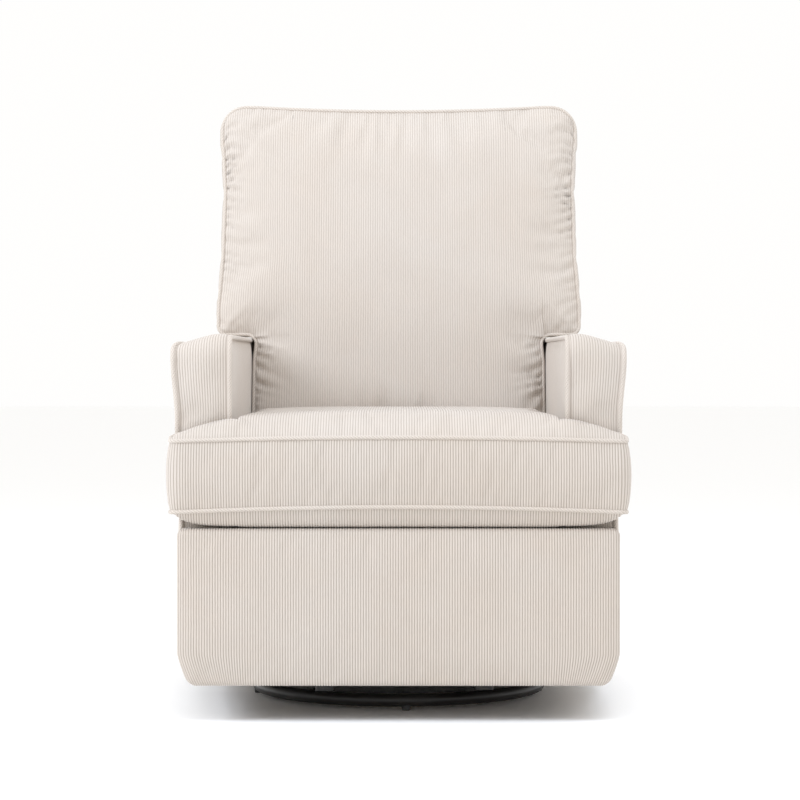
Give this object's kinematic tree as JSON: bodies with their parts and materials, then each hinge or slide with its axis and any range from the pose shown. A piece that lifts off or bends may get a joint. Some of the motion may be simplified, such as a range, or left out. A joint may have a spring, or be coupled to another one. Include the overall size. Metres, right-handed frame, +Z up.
{
  "type": "glider nursery chair",
  "caption": "Upholstered swivel glider recliner with T-shaped back and seat cushions, padded arms, a fold-out footrest and a round tube base.",
  "frame": {"origin": "on the floor, under the middle of the chair's bounding box", "axes": "+Z up, the chair faces -Y, +X to the right as seen from the front"},
  "size_m": [0.748, 0.88, 1.066],
  "materials": {
    "black_steel": "satin black powder coat",
    "zinc_steel": "zinc plated",
    "spring_steel": "dark oiled wire",
    "clip_plastic": "natural nylon",
    "foot_plastic": "black moulded",
    "handle_plastic": "black moulded, fine texture",
    "frame_wood": "planed, unfinished",
    "plywood": "sawn plywood",
    "corduroy": "cream wide-wale corduroy with upright ribs",
    "welting": "cream bias-cut piping"
  },
  "bodies": {
    "base": {"base_ring": "black_steel", "foot_glides": "foot_plastic", "base_cross_bars": "black_steel", "swivel_lower_plate": "black_steel", "ball_race": "zinc_steel", "bearing_balls": "zinc_steel", "swivel_pin": "zinc_steel", "base_plate_bolts": "zinc_steel"},
    "turntable": {"swivel_upper_plate": "black_steel", "glider_base_rails": "black_steel", "glider_uprights_front": "black_steel", "glider_uprights_rear": "black_steel", "glide_top_pins": "zinc_steel", "turntable_bolts": "zinc_steel"},
    "front_links": {"glide_links_front": "zinc_steel", "glide_bushes_front": "clip_plastic"},
    "rear_links": {"glide_links_rear": "zinc_steel", "glide_bushes_rear": "clip_plastic"},
    "seat": {"glide_hangers": "black_steel", "glide_lower_pins": "zinc_steel", "seat_side_rails": "frame_wood", "seat_cross_rails": "frame_wood", "mechanism_members": "frame_wood", "seat_springs": "spring_steel", "seat_spring_clips": "clip_plastic", "arm_boards": "plywood", "arm_cover_left": "corduroy", "arm_cover_right": "corduroy", "arm_bolts": "zinc_steel", "handle_cup": "handle_plastic", "handle_pin": "zinc_steel", "seat_cushion": "corduroy", "lower_rear_panel": "corduroy", "lower_rear_rail": "frame_wood", "recline_brackets": "black_steel", "footrest_side_plates": "zinc_steel", "footrest_frame_pins": "zinc_steel"},
    "backrest": {"back_cushion": "corduroy", "back_outer_shell": "corduroy", "back_stiles": "frame_wood", "back_wing_frames": "frame_wood", "back_cross_rails": "frame_wood", "back_bottom_rail": "frame_wood", "back_springs": "spring_steel", "back_spring_clips": "clip_plastic", "back_brackets": "black_steel", "recline_pins": "zinc_steel"},
    "drive_links": {"footrest_drive_links": "zinc_steel", "footrest_torque_tube": "black_steel", "footrest_knee_pins": "zinc_steel"},
    "guide_links": {"footrest_guide_links": "zinc_steel", "footrest_guide_pins": "zinc_steel"},
    "long_links": {"footrest_long_links": "zinc_steel", "footrest_panel_pins": "zinc_steel"},
    "control_links": {"footrest_control_links": "zinc_steel"},
    "footrest": {"footrest_brackets": "black_steel", "footrest_control_pins": "zinc_steel", "footrest_board": "plywood", "footrest_pad": "corduroy"},
    "handle": {"release_handle": "handle_plastic"}
  },
  "joints": [
    {"name": "swivel", "type": "hinge", "parent": "base", "child": "turntable", "pos_m": [0, -0.025, 0.05], "axis": [0, 0, 1], "continuous": true},
    {"name": "front_link_swing", "type": "hinge", "parent": "turntable", "child": "front_links", "pos_m": [0, -0.175, 0.215], "axis": [-1, 0, 0], "range_deg": [-25, 25]},
    {"name": "rear_link_swing", "type": "hinge", "parent": "turntable", "child": "rear_links", "pos_m": [0, 0.125, 0.215], "axis": [-1, 0, 0], "range_deg": [-25, 25]},
    {"name": "glide", "type": "hinge", "parent": "front_links", "child": "seat", "pos_m": [0, -0.175, 0.085], "axis": [1, 0, 0], "range_deg": [-25, 25]},
    {"name": "recline", "type": "hinge", "parent": "seat", "child": "backrest", "pos_m": [0, 0.33, 0.33], "axis": [-1, 0, 0], "range_deg": [0, 28]},
    {"name": "footrest_extend", "type": "hinge", "parent": "seat", "child": "drive_links", "pos_m": [0, -0.25, 0.255], "axis": [-1, 0, 0], "range_deg": [0, 73]},
    {"name": "guide_swing", "type": "hinge", "parent": "seat", "child": "guide_links", "pos_m": [0, -0.27385, 0.28957], "axis": [-1, 0, 0], "range_deg": [0, 73]},
    {"name": "long_swing", "type": "hinge", "parent": "drive_links", "child": "long_links", "pos_m": [0, -0.25593, 0.0851], "axis": [1, 0, 0], "range_deg": [0, 73]},
    {"name": "panel_turn", "type": "hinge", "parent": "long_links", "child": "footrest", "pos_m": [0, -0.378, 0.262], "axis": [-1, 0, 0], "range_deg": [0, 90]},
    {"name": "control_swing", "type": "hinge", "parent": "guide_links", "child": "control_links", "pos_m": [0, -0.28344, 0.0899], "axis": [1, 0, 0], "range_deg": [0, 73]},
    {"name": "handle_pull", "type": "hinge", "parent": "seat", "child": "handle", "pos_m": [-0.361, -0.168, 0.46], "axis": [0, 0, -1], "range_deg": [0, 30], "stiffness_Nm_per_rad": 0.6}
  ],
  "couplings": [
    {"joint": "front_link_swing", "follows": "glide", "ratio": 1},
    {"joint": "rear_link_swing", "follows": "glide", "ratio": 1},
    {"joint": "guide_swing", "follows": "footrest_extend", "ratio": 1},
    {"joint": "long_swing", "follows": "footrest_extend", "ratio": 1},
    {"joint": "panel_turn", "follows": "footrest_extend", "ratio": 1.2328},
    {"joint": "control_swing", "follows": "footrest_extend", "ratio": 1}
  ]
}
